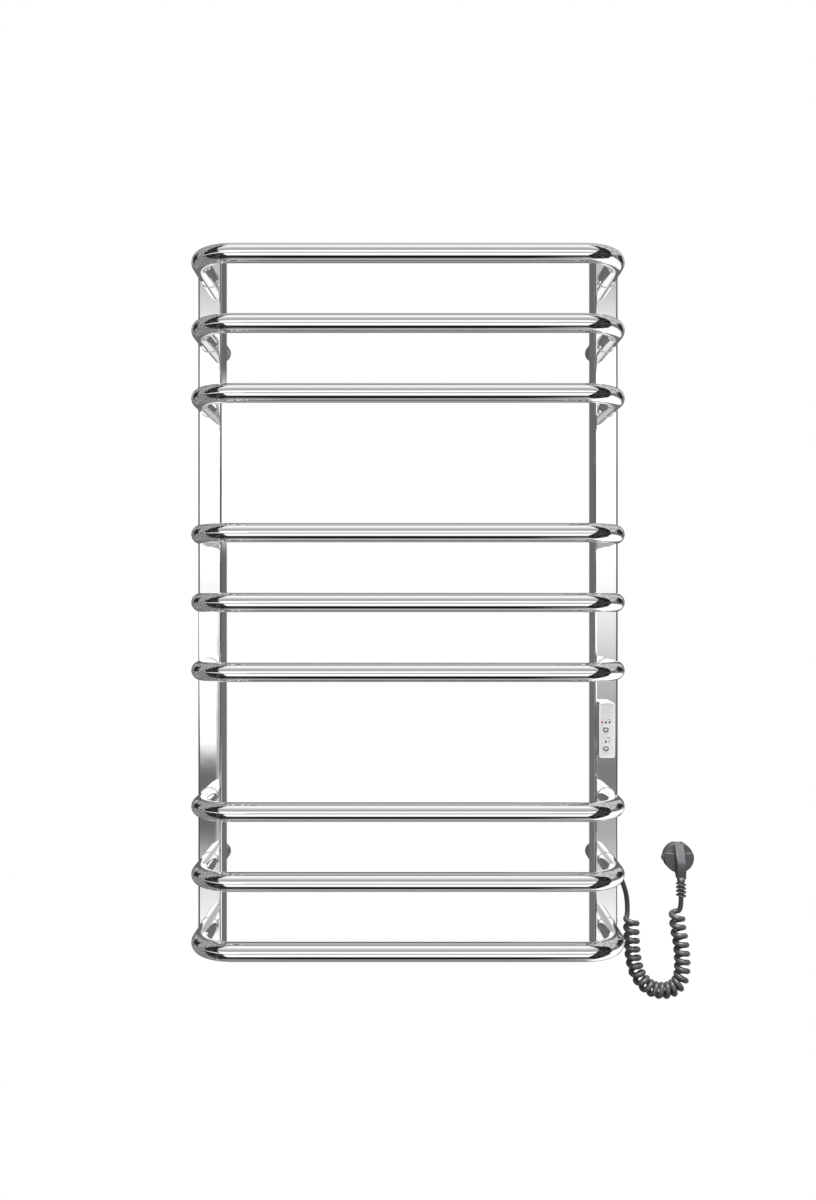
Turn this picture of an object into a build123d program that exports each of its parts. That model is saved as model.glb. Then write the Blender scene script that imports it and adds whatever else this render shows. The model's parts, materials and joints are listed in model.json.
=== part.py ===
from build123d import *

import os
from math import pi, radians, sqrt, tan

# A wall-hung electric towel warmer: nine U-shaped round rungs welded to two upright rectangular tubes,
# which slide on four bosses screwed to the wall. Millimetres, +Z up, the wall is the plane Y = 0, the
# user stands on the -Y side, and the origin is the centre of the four wall screws.

# ---- driving dimensions ----

# Whole rack
rack_height = 830.0
rack_width = 500.0
wall_gap = 45.0
post_to_rung = 90.0

# Posts and their end caps
post_width = 28.0
post_depth = 40.0
post_wall = 1.5
post_corner_r = 3.0
cap_flange = 2.5
cap_depth = 14.0
cap_wall = 2.0
cap_clearance = 0.15

# Rungs: eleven equal steps, two of them left empty for thick towels
rung_diameter = 21.3
rung_wall = 1.2
rung_bend_r = 42.5
rung_slots = 11
empty_slots = (3, 7)
end_margin = 30.0
cable_hole_d = 14.0
weld_leg = 0.8

# Wall brackets: a sleeve on the post slides over a boss on the wall and a grub screw locks it
sleeve_diameter = 22.0
sleeve_wall = 2.0
bracket_from_end = 99.0
base_flange = 4.0
boss_length = 36.0
boss_clearance = 0.05
boss_bore_d = 11.0
boss_floor = 6.0
wall_screw_hole_d = 6.0
grub_diameter = 5.0
grub_socket_d = 2.5
grub_clearance = 0.05

# Control module: a housing let into the front of the right post
control_width = 18.6
control_height = 65.0
control_offset_x = -3.2
control_above_slot = 4.4
control_slot = 7
gasket_thick = 0.5
flange_thick = 19.5
flange_wall = 2.0
flange_floor = 1.5
rim_height = 1.0
rim_width = 1.6
rim_round = 1.1
control_corner_r = 2.2
tray_depth = 16.0
tray_wall = 1.2
tray_margin = 1.5
tray_end_margin = 3.4
tray_clearance = 0.2
face_clearance = 0.1
face_recess = 0.15

# Buttons, indicators and what stands on the board
button_diameter = 7.2
button_clearance = 0.1
button_proud = 0.5
button_travel = 0.5
button_flange_d = 8.6
button_flange = 0.6
button_stem_d = 3.0
button_column_x = -1.5
timer_button_z = 0.015 * control_height
power_button_z = -0.323 * control_height
indicator_d = 2.3
indicator_clearance = 0.05
indicator_row_z = 0.143 * control_height
indicator_pitch = 4.4
power_indicator_z = -0.206 * control_height
board_depth = 11.0
board_thick = 1.6
board_clearance = 0.4
standoff_d = 4.0
standoff_inset = 2.4
screw_core_d = 1.8
screw_head_d = 3.6
screw_head = 1.4
switch_size = 6.0
switch_height = 3.0
component_width = 10.0
component_gap = 0.6
relay_low = 0.132 * control_height
supply_span = (-0.168 * control_height, 0.088 * control_height)
terminal_top = -0.256 * control_height
terminal_gap = 1.1
cable_port_x = 3.5
cable_port_gap = 0.6
cable_port_share = 0.68
lamp_size = 2.2
lamp_height = 1.8

# Heating cable and the leads inside the posts
heater_d = 5.0
heater_corner_r = 11.0
heater_from_front = 19.0
joint_d = 8.0
joint_length = 40.0
joint_below_control = 29.8
leads_below_control = 7.8
mains_bend_below_control = 35.8
end_seal_drop = 36.0
end_seal_length = 30.0
sensor_d = 4.6
sensor_length = 22.0
sensor_above_control = 20.8
sensor_lead_d = 2.0
sensor_lead_x = -4.0
earth_wire_d = 2.2
earth_above_terminal = 5.0
wire_hole_gap = 0.3
stud_d = 4.0
stud_length = 10.0
stud_below_control = 15.8
earth_washer_d = 8.4
earth_washer_thick = 0.8
earth_nut_thick = 3.2
earth_barrel_end = 13.0
earth_wire_inset = 2.8

# Curly mains cord and its boot
cord_d = 6.0
coil_outer_d = 20.4
boot_flange_d = 13.0
boot_flange = 1.5
boot_neck_d = 8.0
boot_d = 9.4
boot_tip_d = 7.0
boot_taper = 14.5
boot_nut_d = 13.0
boot_nut = 3.0

# Angled earthed plug, pins towards the wall
plug_diameter = 36.4
plug_face_y = -20.0
pin_length = 19.0
pin_diameter = 4.8
pin_spacing = 19.0
plug_base = 12.0
plug_ledge = 3.0
handle_width = 11.3
handle_depth = 27.0
relief_core_d = 6.6
relief_rib_d = 13.0
relief_rib = 1.7
relief_pitch = 4.6
relief_ribs = 4

# ---- places worked out from them ----

post_x = (rack_width - post_width) / 2
post_back_y = -wall_gap
post_front_y = post_back_y - post_depth
rung_y = post_front_y - post_to_rung
rung_step = (rack_height - 2 * end_margin) / (rung_slots - 1)
rung_z = [
    (rung_slots - 1) / 2 * rung_step - slot * rung_step
    for slot in range(rung_slots)
    if slot not in empty_slots
]
rung_bore_r = rung_diameter / 2 - rung_wall
bracket_x = post_x
bracket_z = rack_height / 2 - bracket_from_end
sleeve_bore_r = sleeve_diameter / 2 - sleeve_wall
inner_back_y = post_back_y - post_wall
inner_front_y = post_front_y + post_wall
SIDES = {"left": -1, "right": 1}
LEVELS = {"upper": 1, "lower": -1}

control_x = post_x + control_offset_x
control_z = (rung_slots - 1) / 2 * rung_step - control_slot * rung_step + control_above_slot
flange_back_y = post_front_y - gasket_thick
flange_front_y = flange_back_y - flange_thick
rim_front_y = flange_front_y - rim_height
face_front_y = rim_front_y + face_recess
tray_width = control_width - 2 * tray_margin
tray_height = control_height - 2 * tray_end_margin
tray_back_y = post_front_y + tray_depth
tray_floor_y = tray_back_y - tray_wall
board_front_y = flange_front_y + board_depth
board_back_y = board_front_y + board_thick
standoff_places = [
    (0.0, tray_height / 2 - tray_wall - standoff_inset),
    (4.0, -0.212 * control_height),
]
relay_span = (relay_low, standoff_places[0][1] - standoff_d / 2 - component_gap)
terminal_low_z = control_z - tray_height / 2 + tray_wall + terminal_gap
port_y = post_front_y + tray_depth * cable_port_share

# Each cord point is placed from the right post's outer face, the wall, and the eighth rung.
cord_datum = Vector(rack_width / 2, 0, rung_z[7])
LEAD_POINTS = [(9.3, -56, -28), (14.9, -53, -41), (19, -47, -58.5), (19, -47, -76.5)]
COIL_POINTS = [
    (22.5, -53, -76.5),
    (22.5, -53, -99),
    (24.5, -52, -125),
    (30, -51.5, -147.5),
    (46, -51, -165.5),
    (70.5, -50.5, -167.5),
    (84.5, -50, -155),
    (86, -49.5, -133),
    (84.5, -49, -109),
    (80, -47, -88),
    (80, -46, -71),
]
PLUG_LEAD_POINTS = [(86.2, -42, -71), (86.2, -42, -54.4)]
plug_centre = cord_datum + Vector(86.2, 0, -9)

parts = {}


# ---- helpers ----


def box(x, y, z):
    """A box from three (low, high) pairs."""
    size = [high - low for low, high in (x, y, z)]
    middle = [(high + low) / 2 for low, high in (x, y, z)]
    return Pos(*middle) * Box(*size)


def rounded_block(width, height, y, radius, x=0.0, z=0.0):
    """A block seen from the front as a rounded rectangle, between two Y planes."""
    low, high = min(y), max(y)
    outline = Plane.XZ * RectangleRounded(width, height, radius)
    return Pos(x, low, z) * extrude(outline, amount=high - low, dir=(0, 1, 0))


def disc(diameter, y, x=0.0, z=0.0):
    """A cylinder lying along Y between two Y planes."""
    low, high = min(y), max(y)
    return Pos(x, (low + high) / 2, z) * Rot(90, 0, 0) * Cylinder(diameter / 2, high - low)


def upright(diameter, z, x=0.0, y=0.0):
    """A cylinder standing along Z between two heights."""
    low, high = min(z), max(z)
    return Pos(x, y, (low + high) / 2) * Cylinder(diameter / 2, high - low)


def route(points, radii):
    """Straight runs joined by tangent arcs."""
    return FilletPolyline(*points, radius=radii)


def widest_radii(points):
    """For each corner, the largest arc that its two runs allow."""
    radii = []
    for before, here, after in zip(points, points[1:], points[2:]):
        into = here - before
        out = after - here
        half_turn = radians(into.get_angle(out)) / 2
        radii.append(0.45 * min(into.length, out.length) / tan(half_turn))
    return radii


def along(path, diameter, bore=0.0):
    """A round tube or rod swept along a path."""
    section = Circle(diameter / 2)
    if bore:
        section -= Circle(bore / 2)
    return sweep(Plane(origin=path @ 0, z_dir=path % 0) * section, path=path)


def save(name, shape):
    """Keep one named piece, or a group of like ones."""
    solids = shape if isinstance(shape, list) else [shape]
    flat = [solid for one in solids for solid in one.solids()]
    whole = flat[0] if len(flat) == 1 else Compound(children=flat)
    whole.label = name
    parts[name] = whole


# ---- posts, caps and rungs ----


def make_post(side):
    length = rack_height - 2 * cap_flange
    outline = RectangleRounded(post_width, post_depth, post_corner_r)
    bore = RectangleRounded(
        post_width - 2 * post_wall, post_depth - 2 * post_wall, post_corner_r - post_wall
    )
    middle_y = post_back_y - post_depth / 2
    tube = Pos(side * post_x, middle_y, -length / 2) * extrude(outline - bore, amount=length)
    through = (post_front_y - 1, inner_front_y + 1)
    for z in rung_z:
        tube -= disc(cable_hole_d, through, side * post_x, z)
    if side > 0:
        tube -= rounded_block(
            tray_width + 2 * tray_clearance,
            tray_height + 2 * tray_clearance,
            through,
            1.0,
            control_x,
            control_z,
        )
        base = boot_base()
        outer_x = rack_width / 2
        drill = Rot(0, 90, 0) * Cylinder(boot_neck_d / 2 + 0.1, 4 * post_wall)
        tube -= Pos(outer_x - post_wall / 2, base.Y, base.Z) * drill
    return tube


def make_end_cap(side, level):
    outline = RectangleRounded(post_width, post_depth, post_corner_r)
    flange = extrude(outline, amount=cap_flange)
    flange = fillet(flange.faces().sort_by(Axis.Z)[-1].edges(), 1.0)
    skirt_width = post_width - 2 * post_wall - 2 * cap_clearance
    skirt_depth = post_depth - 2 * post_wall - 2 * cap_clearance
    skirt_r = post_corner_r - post_wall
    skirt = RectangleRounded(skirt_width, skirt_depth, skirt_r)
    skirt -= RectangleRounded(skirt_width - 2 * cap_wall, skirt_depth - 2 * cap_wall, 0.5)
    cap = flange + Pos(0, 0, -cap_depth) * extrude(skirt, amount=cap_depth)
    if level < 0:
        cap = Rot(180, 0, 0) * cap
    height = rack_height / 2 - cap_flange
    return Pos(side * post_x, post_back_y - post_depth / 2, level * height) * cap


def make_rung(z):
    corners = [
        Vector(-post_x, post_front_y, z),
        Vector(-post_x, rung_y, z),
        Vector(post_x, rung_y, z),
        Vector(post_x, post_front_y, z),
    ]
    return along(route(corners, rung_bend_r), rung_diameter, 2 * rung_bore_r)


def weld_ring(radius, face_y, way, x, z):
    """A small cone of weld round a tube where it meets a flat face."""
    ring = Cone(radius + weld_leg, radius + weld_leg / 8, weld_leg) - Cylinder(radius, weld_leg)
    turn = Rot(90, 0, 0) if way < 0 else Rot(-90, 0, 0)
    return Pos(x, face_y + way * weld_leg / 2, z) * turn * ring


def make_weld_seams():
    rings = []
    for side in SIDES.values():
        for z in rung_z:
            rings.append(weld_ring(rung_diameter / 2, post_front_y, -1, side * post_x, z))
        for level in LEVELS.values():
            z = level * bracket_z
            rings.append(weld_ring(sleeve_diameter / 2, post_back_y, 1, side * bracket_x, z))
    return rings


# ---- wall brackets ----


def grub_y():
    """The grub screw stands halfway along the sleeve."""
    return (post_back_y - base_flange) / 2


def make_sleeve(side, level):
    x, z = side * bracket_x, level * bracket_z
    span = (post_back_y, -base_flange)
    sleeve = disc(sleeve_diameter, span, x, z) - disc(2 * sleeve_bore_r, span, x, z)
    hole_r = grub_diameter / 2 + grub_clearance
    length = sleeve_wall + 2
    low = z - sleeve_diameter / 2 - 1
    return sleeve - upright(2 * hole_r, (low, low + length), x, grub_y())


def make_grub_screw(side, level):
    """Its tip is flush with the sleeve's bore, its head just under the sleeve."""
    x, z = side * bracket_x, level * bracket_z
    tip = z - sqrt(sleeve_bore_r**2 - (grub_diameter / 2) ** 2)
    screw = upright(grub_diameter, (tip - 4.0, tip), x, grub_y())
    screw -= upright(grub_socket_d, (tip - 5.0, tip - 2.0), x, grub_y())
    return screw - disc(2 * sleeve_bore_r, (grub_y() - grub_diameter, grub_y() + grub_diameter), x, z)


def make_wall_base(side, level):
    x, z = side * bracket_x, level * bracket_z
    base = disc(sleeve_diameter, (-base_flange, 0), x, z)
    boss_d = 2 * (sleeve_bore_r - boss_clearance)
    base += disc(boss_d, (-boss_length, -base_flange), x, z)
    base -= disc(boss_bore_d, (-boss_length - 1, -boss_floor), x, z)
    return base - disc(wall_screw_hole_d, (-boss_floor - 1, 1), x, z)


# ---- control module ----


def make_housing():
    flange = rounded_block(
        control_width, control_height, (rim_front_y, flange_back_y), control_corner_r
    )
    rim_edges = flange.faces().sort_by(Axis.Y)[0].edges()
    flange = fillet(rim_edges, rim_round)
    recess = rounded_block(
        control_width - 2 * rim_width,
        control_height - 2 * rim_width,
        (rim_front_y - 1, flange_front_y),
        control_corner_r - rim_width / 2,
    )
    tray = rounded_block(tray_width, tray_height, (flange_back_y, tray_back_y), 1.0)
    inside = rounded_block(
        tray_width - 2 * tray_wall,
        tray_height - 2 * tray_wall,
        (flange_front_y - 1, tray_floor_y),
        0.6,
    )
    hollow = rounded_block(
        control_width - 2 * flange_wall,
        control_height - 2 * flange_wall,
        (flange_front_y - 1, flange_back_y - flange_floor),
        0.6,
    )
    housing = flange + tray - inside - hollow - recess
    for x, z in standoff_places:
        post = disc(standoff_d, (board_back_y, tray_floor_y), x, z)
        housing += post - disc(screw_core_d, (board_back_y, tray_floor_y - 1.5), x, z)
    for port in (-cable_port_x, cable_port_x):
        housing -= upright(
            cord_d + cable_port_gap, (-tray_height / 2 - 1, -tray_height / 2 + tray_wall + 1), port, port_y
        )
    top = tray_height / 2
    hole_d = sensor_lead_d + wire_hole_gap
    housing -= upright(hole_d, (top - tray_wall - 1, top + 1), sensor_lead_x, port_y)
    hole_d = earth_wire_d + wire_hole_gap
    housing -= disc(hole_d, (tray_floor_y - 1, tray_back_y + 1), 0, earth_wire_z())
    return Pos(control_x, 0, control_z) * housing


def earth_wire_z():
    """Height of the earth wire's hole, from the module's centre."""
    return terminal_low_z - control_z + earth_above_terminal


def indicator_places():
    row = [
        (button_column_x + step * indicator_pitch, indicator_row_z) for step in (-1, 0, 1)
    ]
    return [*row, (button_column_x, power_indicator_z)]


def button_places():
    return {"timer_button": timer_button_z, "power_button": power_button_z}


def make_faceplate():
    width = control_width - 2 * rim_width - 2 * face_clearance
    height = control_height - 2 * rim_width - 2 * face_clearance
    corner = control_corner_r - rim_width / 2
    plate = rounded_block(width, height, (face_front_y, flange_front_y), corner)
    through = (face_front_y - 1, flange_front_y + 1)
    for z in button_places().values():
        plate -= disc(button_diameter + 2 * button_clearance, through, button_column_x, z)
    for x, z in indicator_places():
        plate -= disc(indicator_d + 2 * indicator_clearance, through, x, z)
    return Pos(control_x, 0, control_z) * plate


def make_gasket():
    ring = rounded_block(
        control_width - 0.6, control_height - 0.6, (flange_back_y, post_front_y), control_corner_r
    )
    hole = rounded_block(
        tray_width + 2 * tray_clearance,
        tray_height + 2 * tray_clearance,
        (flange_back_y - 1, post_front_y + 1),
        1.0,
    )
    return Pos(control_x, 0, control_z) * (ring - hole)


def make_board():
    width = tray_width - 2 * tray_wall - 2 * board_clearance
    height = tray_height - 2 * tray_wall - 2 * board_clearance
    board = rounded_block(width, height, (board_front_y, board_back_y), 0.8)
    for x, z in standoff_places:
        board -= disc(screw_core_d + 0.3, (board_front_y - 1, board_back_y + 1), x, z)
    return Pos(control_x, 0, control_z) * board


def make_board_screws():
    screws = []
    for x, z in standoff_places:
        head = disc(screw_head_d, (board_front_y - screw_head, board_front_y), x, z)
        head -= disc(screw_core_d * 0.7, (board_front_y - screw_head, board_front_y - 0.6), x, z)
        shank = disc(screw_core_d, (board_front_y, board_back_y + 5.0), x, z)
        screws.append(Pos(control_x, 0, control_z) * (head + shank))
    return screws


def make_component(low_z, high_z):
    """A boxed component on the back of the board."""
    body = rounded_block(
        component_width,
        high_z - low_z,
        (board_back_y, tray_floor_y - component_gap),
        0.8,
        0,
        (high_z + low_z) / 2,
    )
    return Pos(control_x, 0, control_z) * body


def make_switches():
    switches = []
    for z in button_places().values():
        body = rounded_block(
            switch_size,
            switch_size,
            (board_front_y - switch_height, board_front_y),
            0.6,
            button_column_x,
            z,
        )
        top = board_front_y - switch_height
        body += disc(button_stem_d, (top - 0.8, top), button_column_x, z)
        switches.append(Pos(control_x, 0, control_z) * body)
    return switches


def make_button(z):
    x = button_column_x
    front = face_front_y - button_proud
    flange_front = flange_front_y + button_clearance
    cap = disc(button_diameter, (front, flange_front), x, z)
    cap = fillet(cap.faces().sort_by(Axis.Y)[0].edges(), 0.3)
    cap += disc(button_flange_d, (flange_front, flange_front + button_flange), x, z)
    switch_tip = board_front_y - switch_height - 0.8
    stem_end = switch_tip - button_travel - button_clearance
    cap += disc(button_stem_d, (flange_front + button_flange, stem_end), x, z)
    return Pos(control_x, 0, control_z) * cap


def make_indicator(place):
    x, z = place
    lamp_front = board_front_y - lamp_height
    pipe = disc(indicator_d, (face_front_y - 0.1, lamp_front), x, z)
    lamp = rounded_block(lamp_size, lamp_size, (lamp_front, board_front_y), 0.4, x, z)
    return Pos(control_x, 0, control_z) * (pipe + lamp)


# ---- heating cable and what is inside the posts ----


def heater_points():
    """Down the right post, then to and fro through every rung from the bottom up."""
    deep_y = post_front_y + heater_from_front
    side_x, side_y = joint_place()
    points = [
        Vector(side_x, side_y, joint_low_z()),
        Vector(side_x, side_y, rung_z[-1]),
        Vector(post_x, post_front_y - 4, rung_z[-1]),
    ]
    side = 1
    for z in reversed(rung_z):
        if z != rung_z[-1]:
            points.append(Vector(side * post_x, deep_y, z))
        points.append(Vector(side * post_x, rung_y, z))
        points.append(Vector(-side * post_x, rung_y, z))
        points.append(Vector(-side * post_x, deep_y, z))
        side = -side
    points.append(Vector(side * post_x, deep_y, rung_z[0] - end_seal_drop))
    return points


def heater_radii(points):
    """The rung's own bend where the cable follows it, and a smaller one inside the posts."""
    radii = []
    for before, here, after in zip(points, points[1:], points[2:]):
        turn = (here - before).get_angle(after - here)
        if abs(here.Y - rung_y) < 1e-6:
            radii.append(rung_bend_r)
        elif turn < 45:
            radii.append(4 * heater_corner_r)
        else:
            radii.append(heater_corner_r)
    return radii


def joint_place():
    return post_x - 6.5, inner_back_y - 6.5


def joint_high_z():
    return control_z - control_height / 2 - joint_below_control


def joint_low_z():
    return joint_high_z() - joint_length


def make_end_seal():
    deep_y = post_front_y + heater_from_front
    end_side = -1 if len(rung_z) % 2 else 1
    cable_end = rung_z[0] - end_seal_drop
    high = cable_end + 8.0
    seal = upright(heater_d + 2.2, (high - end_seal_length, high), end_side * post_x, deep_y)
    return seal - upright(heater_d, (cable_end, high + 1), end_side * post_x, deep_y)


def port_point(port_x, z):
    return Vector(control_x + port_x, port_y, z)


def leads_entry_z():
    """Where the two cables straighten below the module."""
    return control_z - control_height / 2 - leads_below_control


def make_cold_lead():
    x, y = joint_place()
    points = [
        port_point(-cable_port_x, terminal_low_z),
        port_point(-cable_port_x, leads_entry_z()),
        Vector(x, y, joint_high_z() + 6),
        Vector(x, y, joint_high_z()),
    ]
    return along(route(points, [12.0, 6.0]), heater_d)


def make_inner_mains_lead():
    base = boot_base()
    points = [
        Vector(rack_width / 2 - post_wall - boot_nut, base.Y, base.Z),
        Vector(post_x + 2.0, base.Y, base.Z),
        Vector(post_x + 4.0, base.Y, control_z - control_height / 2 - mains_bend_below_control),
        port_point(cable_port_x, leads_entry_z()),
        port_point(cable_port_x, terminal_low_z),
    ]
    return along(route(points, [6.5, 30.0, 20.0]), cord_d)


def sensor_low_z():
    return control_z + control_height / 2 + sensor_above_control


def make_sensor_lead():
    """From the relay's top to the sensor."""
    span = (control_z + relay_span[1], sensor_low_z())
    return upright(sensor_lead_d, span, control_x + sensor_lead_x, port_y)


def make_sensor():
    span = (sensor_low_z(), sensor_low_z() + sensor_length)
    sensor = upright(sensor_d, span, control_x + sensor_lead_x, port_y)
    return fillet(sensor.edges(), 0.8)


def earth_points():
    y = inner_back_y - earth_wire_inset
    return [
        Vector(control_x, y, earth_stud_z() + earth_barrel_end),
        Vector(control_x, y, control_z + earth_wire_z()),
        Vector(control_x, tray_floor_y - component_gap, control_z + earth_wire_z()),
    ]


def earth_stud_z():
    return control_z - control_height / 2 - stud_below_control


def make_earth_set():
    """A stud welded inside the post, a washer, the wire's ring terminal and a nut."""
    z = earth_stud_z()
    y = inner_back_y
    washer_y, ring_y = y - earth_washer_thick, y - 2 * earth_washer_thick
    nut_y = ring_y - earth_nut_thick
    stud = disc(stud_d, (y - stud_length, y), control_x, z)
    washer = disc(earth_washer_d, (washer_y, y), control_x, z)
    washer -= disc(stud_d, (washer_y - 1, y + 1), control_x, z)
    ring = disc(earth_washer_d, (ring_y, washer_y), control_x, z)
    tongue = (control_x - 1.6, control_x + 1.6)
    ring += box(tongue, (y - 3.4, washer_y), (z + 5.0, z + 8.0))
    ring += box(tongue, (ring_y, washer_y), (z + 2.5, z + 6.0))
    ring += upright(3.4, (z + 7.0, z + earth_barrel_end), control_x, y - earth_wire_inset)
    ring -= disc(stud_d, (y - 6, y), control_x, z)
    hexagon = extrude(Plane.XZ * RegularPolygon(4.0, 6), amount=ring_y - nut_y)
    nut = Pos(control_x, ring_y, z) * hexagon - disc(stud_d, (nut_y - 1, ring_y + 1), control_x, z)
    return stud, nut, ring, washer


# ---- mains cord and plug ----


def cord_route(points):
    return [cord_datum + Vector(*point) for point in points]


def boot_axis():
    first, second = cord_route(LEAD_POINTS)[:2]
    return (second - first).normalized()


def boot_corner():
    return cord_route(LEAD_POINTS)[0] - boot_axis() * boot_taper


def boot_base():
    """Where the boot's neck passes through the post's outer wall."""
    corner = boot_corner()
    return Vector(rack_width / 2, corner.Y, corner.Z)


def sideways(diameter, x, y, z):
    """A cylinder lying along X between two X planes."""
    low, high = min(x), max(x)
    return Pos((low + high) / 2, y, z) * Rot(0, 90, 0) * Cylinder(diameter / 2, high - low)


def make_boot():
    base, corner, axis = boot_base(), boot_corner(), boot_axis()
    outer_x = rack_width / 2
    body = sideways(boot_flange_d, (outer_x, outer_x + boot_flange), base.Y, base.Z)
    body += sideways(boot_d, (outer_x, corner.X), base.Y, base.Z)
    body += Pos(corner) * Sphere(boot_d / 2)
    taper = Cone(boot_d / 2, boot_tip_d / 2, boot_taper)
    body += Plane(origin=corner + axis * boot_taper / 2, z_dir=axis) * taper
    outside = box(
        (outer_x, outer_x + 40), (base.Y - 20, base.Y + 20), (base.Z - 40, base.Z + 20)
    )
    body = body & outside
    neck_end = outer_x - post_wall - boot_nut
    return body + sideways(boot_neck_d, (neck_end, outer_x), base.Y, base.Z)


def make_boot_nut():
    base = boot_base()
    inner_x = rack_width / 2 - post_wall
    nut = sideways(boot_nut_d, (inner_x - boot_nut, inner_x), base.Y, base.Z)
    return nut - sideways(boot_neck_d, (inner_x - boot_nut - 1, inner_x + 1), base.Y, base.Z)


def make_cord_tube(points, diameter):
    corners = cord_route(points)
    radii = widest_radii(corners)
    print("cord arcs, radius in mm:", [round(radius, 1) for radius in radii])
    path = route(corners, radii)
    tube = along(path, diameter)
    section = pi * diameter**2 / 4
    print("  volume over section times length:", round(tube.volume / section / path.length, 4))
    return tube


def make_plug_lead():
    start, end = cord_route(PLUG_LEAD_POINTS)
    return along(Line(start, end), cord_d)


def make_plug_body():
    """Disc, raised lower part, central handle and the neck that holds the cord."""
    x, z = plug_centre.X, plug_centre.Z
    radius = plug_diameter / 2
    base_front = plug_face_y - plug_base
    base = disc(plug_diameter, (base_front, plug_face_y), x, z)
    base = fillet(base.faces().sort_by(Axis.Y)[0].edges(), 1.2)
    raised = disc(plug_diameter, (base_front - plug_ledge, base_front + 1.4), x, z)
    raised = fillet(raised.faces().sort_by(Axis.Y)[0].edges(), 1.0)
    ledge_z = z + radius * 0.3
    raised &= box(
        (x - radius, x + radius), (base_front - plug_ledge, base_front + 2), (z - radius, ledge_z)
    )
    body = base + raised
    front_y = plug_face_y - handle_depth
    bottom_z = relief_top_z() + 3.0
    profile = Polyline(
        (base_front + 1, z + radius - 1.2),
        (base_front - 1.5, z + radius - 1.4),
        (front_y + 1.4, z - 2.0),
        (front_y, z - 5.0),
        (front_y, z - 12.0),
        (front_y + 1.6, bottom_z),
        (base_front - 5.5, bottom_z),
        (base_front + 1, z - radius + 2.0),
        close=True,
    )
    handle = Pos(x - handle_width / 2, 0, 0) * extrude(
        Plane.YZ * make_face(profile), amount=handle_width
    )
    long_edges = [
        edge
        for edge in handle.edges()
        if edge.center().Y < base_front - 2 and abs(abs(edge.center().X - x) - handle_width / 2) < 0.1
    ]
    handle = fillet(long_edges, 1.5)
    body += handle
    cord = cord_route(PLUG_LEAD_POINTS)[1]
    body += upright(handle_width - 1.4, (relief_top_z(), bottom_z + 2), x, cord.Y)
    lug = rounded_block(4.0, 6.0, (base_front, base_front + 5.0), 1.2, x - radius - 0.8, z)
    body += lug
    for way in (-1, 1):
        body -= box(
            (x - 4.2, x + 4.2),
            (plug_face_y - 10.0, plug_face_y + 1),
            tuple(sorted((z + way * (radius - 1.8), z + way * (radius + 1)))),
        )
    return body


def relief_top_z():
    """The ribs hang below the plug's neck."""
    cord = cord_route(PLUG_LEAD_POINTS)[1]
    return cord.Z + relief_ribs * relief_pitch + 0.6


def make_strain_relief():
    cord = cord_route(PLUG_LEAD_POINTS)[1]
    relief = upright(relief_core_d, (cord.Z, relief_top_z()), cord.X, cord.Y)
    for rib in range(relief_ribs):
        low = cord.Z + 0.8 + rib * relief_pitch
        ring = upright(relief_rib_d - 0.3 * rib, (low, low + relief_rib), cord.X, cord.Y)
        relief += fillet(ring.edges(), 0.5)
    return relief


def make_pins():
    pins = []
    for way in (-1, 1):
        x = plug_centre.X + way * pin_spacing / 2
        pin = disc(pin_diameter, (plug_face_y, plug_face_y + pin_length), x, plug_centre.Z)
        pins.append(fillet(pin.faces().sort_by(Axis.Y)[-1].edges(), pin_diameter * 0.3))
    return pins


def make_earth_clips():
    clips = []
    radius = plug_diameter / 2
    for way in (-1, 1):
        z = [plug_centre.Z + way * (radius - 1.8), plug_centre.Z + way * (radius - 0.9)]
        clips.append(
            box(
                (plug_centre.X - 3.5, plug_centre.X + 3.5),
                (plug_face_y - 10.0, plug_face_y),
                (min(z), max(z)),
            )
        )
    return clips


# ---- build everything ----

for side_name, side in SIDES.items():
    save(f"{side_name}_post", make_post(side))
    for level_name, level in LEVELS.items():
        save(f"{level_name}_{side_name}_end_cap", make_end_cap(side, level))
        save(f"{level_name}_{side_name}_sleeve", make_sleeve(side, level))
        save(f"{level_name}_{side_name}_wall_base", make_wall_base(side, level))
for number, z in enumerate(rung_z, start=1):
    save(f"rung_{number}", make_rung(z))
save("weld_seams", make_weld_seams())
grub_screws = [make_grub_screw(s, level) for s in SIDES.values() for level in LEVELS.values()]
save("bracket_grub_screws", grub_screws)

save("control_housing", make_housing())
save("control_faceplate", make_faceplate())
save("control_gasket", make_gasket())
save("circuit_board", make_board())
save("board_screws", make_board_screws())
save("button_switches", make_switches())
save("power_relay", make_component(*relay_span))
save("power_supply_block", make_component(*supply_span))
save("terminal_block", make_component(terminal_low_z - control_z, terminal_top))
for button, z in button_places().items():
    save(button, make_button(z))
save("red_indicator", make_indicator(indicator_places()[0]))
save("dark_indicators", [make_indicator(place) for place in indicator_places()[1:]])

cable_corners = heater_points()
heater_path = route(cable_corners, heater_radii(cable_corners))
save("heating_cable", along(heater_path, heater_d))
print("heating cable length, m:", round(heater_path.length / 1000, 2))
joint_x, joint_y = joint_place()
save("heating_cable_joint", upright(joint_d, (joint_low_z(), joint_high_z()), joint_x, joint_y))
save("heating_cable_end_seal", make_end_seal())
save("cold_lead", make_cold_lead())
save("inner_mains_lead", make_inner_mains_lead())
save("sensor_lead", make_sensor_lead())
save("temperature_sensor", make_sensor())
earth_stud, earth_nut, earth_ring, earth_washer = make_earth_set()
save("earth_stud", earth_stud)
save("earth_nut", earth_nut)
save("earth_ring_terminal", earth_ring)
save("earth_washer", earth_washer)
save("earth_wire", along(route(earth_points(), [5.0]), earth_wire_d))

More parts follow.
